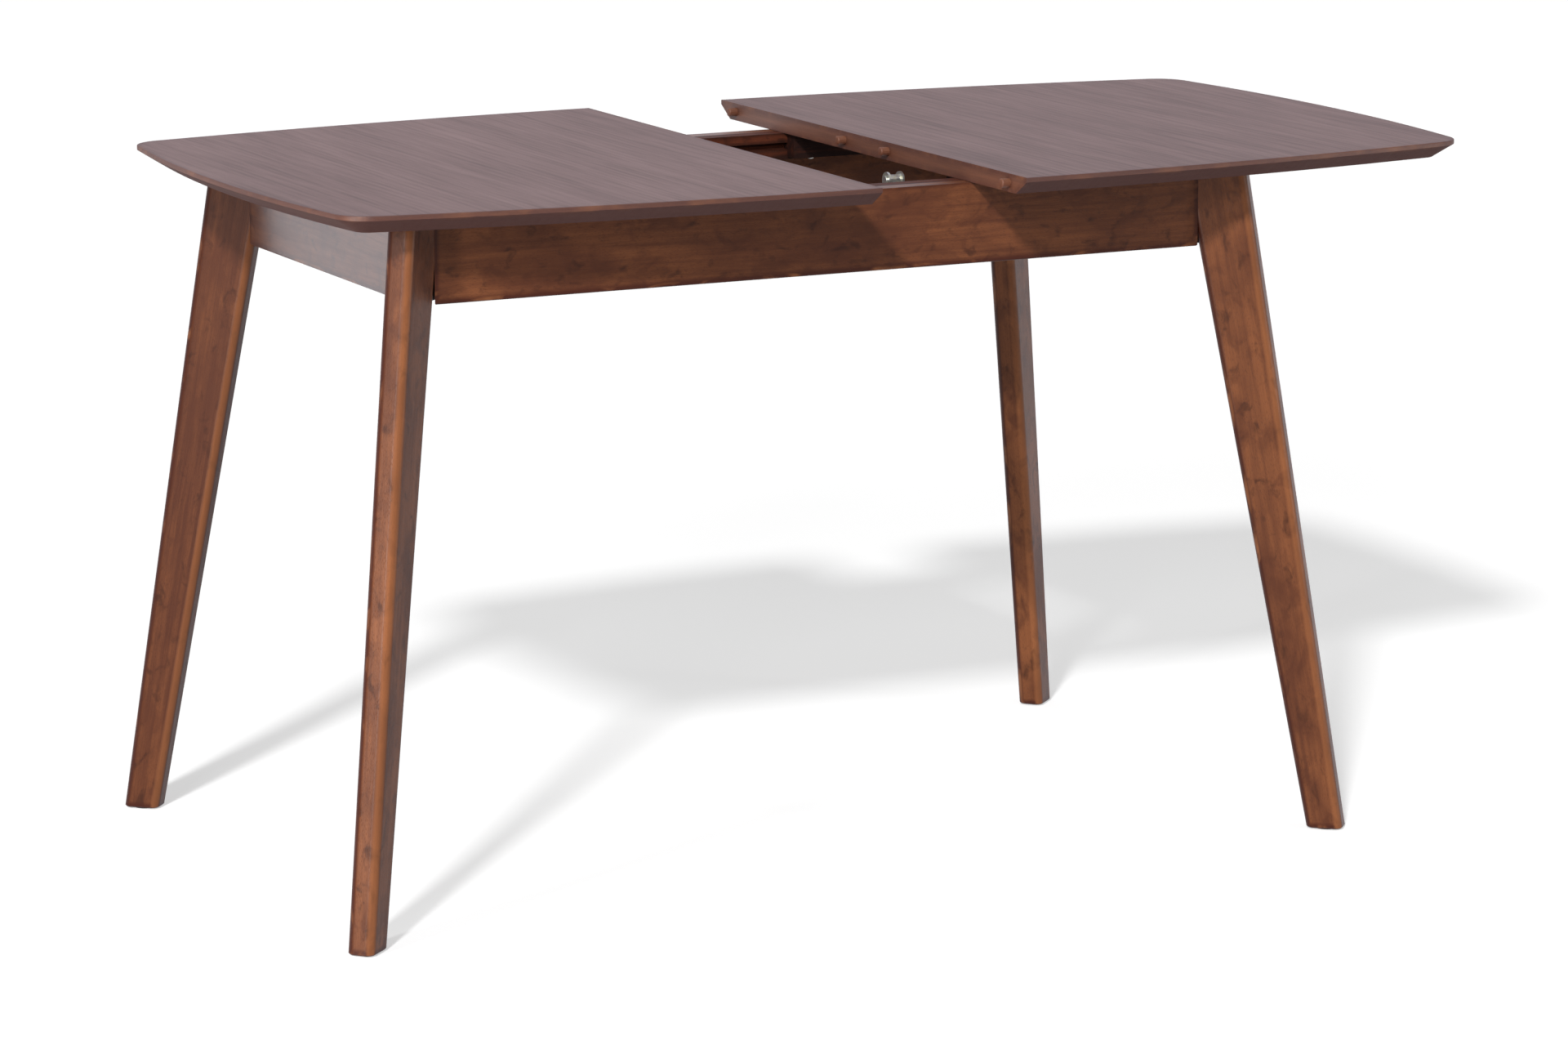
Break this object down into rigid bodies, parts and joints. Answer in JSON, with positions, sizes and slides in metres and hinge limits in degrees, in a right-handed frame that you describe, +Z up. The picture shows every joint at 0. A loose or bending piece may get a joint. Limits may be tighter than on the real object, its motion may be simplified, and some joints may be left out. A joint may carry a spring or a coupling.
{
  "type": "extending dining table",
  "caption": "Extending dining table with a boat-shaped top in sliding halves, a folded leaf stored in the frame, and splayed plank legs.",
  "frame": {"origin": "on the floor, under the middle of the table as it stands here, with the left half of the top home and the right half pulled out", "axes": "+X to the right along the table, +Y to the back, +Z up"},
  "size_m": [1.3702, 0.75, 0.76],
  "materials": {
    "top_wood": "satin lacquer over a greyish brown stain",
    "frame_wood": "satin lacquer over a walnut brown stain",
    "inner_wood": "plain sanded hardwood",
    "dowel_wood": "plain sanded hardwood",
    "zinc_steel": "zinc plated",
    "hinge_brass": "satin",
    "glide_plastic": "matt"
  },
  "bodies": {
    "frame": {"back_apron": "frame_wood", "back_left_corner_block": "inner_wood", "back_left_leg": "frame_wood", "back_right_corner_block": "inner_wood", "back_right_leg": "frame_wood", "back_slide_rail": "inner_wood", "back_slide_rail_screws": "zinc_steel", "foot_glides": "glide_plastic", "front_apron": "frame_wood", "front_left_corner_block": "inner_wood", "front_left_leg": "frame_wood", "front_right_corner_block": "inner_wood", "front_right_leg": "frame_wood", "front_slide_rail": "inner_wood", "front_slide_rail_screws": "zinc_steel", "leaf_rest_rail": "inner_wood", "leaf_rest_rail_screws": "zinc_steel", "left_apron": "frame_wood", "left_cross_rail": "inner_wood", "left_pivot_bracket": "zinc_steel", "left_pivot_pin": "zinc_steel", "leg_bolt_nuts": "zinc_steel", "leg_bolt_washers": "zinc_steel", "leg_bolts": "zinc_steel", "pivot_bracket_screws": "zinc_steel", "right_apron": "frame_wood", "right_cross_rail": "inner_wood", "right_pivot_bracket": "zinc_steel", "right_pivot_pin": "zinc_steel"},
    "left_top": {"left_top_panel": "top_wood", "left_front_runner": "inner_wood", "left_back_runner": "inner_wood", "left_top_batten": "inner_wood", "left_runner_screws": "zinc_steel", "left_batten_screws": "zinc_steel"},
    "right_top": {"right_top_panel": "top_wood", "right_front_runner": "inner_wood", "right_back_runner": "inner_wood", "right_top_batten": "inner_wood", "right_runner_screws": "zinc_steel", "right_batten_screws": "zinc_steel", "right_top_dowels": "dowel_wood"},
    "leaf": {"leaf_pivot_panel": "top_wood", "leaf_fold_panel": "top_wood", "leaf_hinge_barrels": "hinge_brass", "leaf_hinge_links": "hinge_brass", "leaf_dowels": "dowel_wood", "left_pivot_arm": "zinc_steel", "right_pivot_arm": "zinc_steel", "pivot_arm_screws": "zinc_steel"}
  },
  "joints": [
    {"name": "left_top_slide", "type": "slide", "parent": "frame", "child": "left_top", "axis": [-1, 0, 0], "range_m": [0, 0.17]},
    {"name": "right_top_slide", "type": "slide", "parent": "frame", "child": "right_top", "axis": [1, 0, 0], "range_m": [-0.17, 0]},
    {"name": "leaf_pivot", "type": "hinge", "parent": "frame", "child": "leaf", "pos_m": [-0.085, -0.09375, 0.7242], "axis": [1, 0, 0], "range_deg": [0, 5.5]}
  ]
}
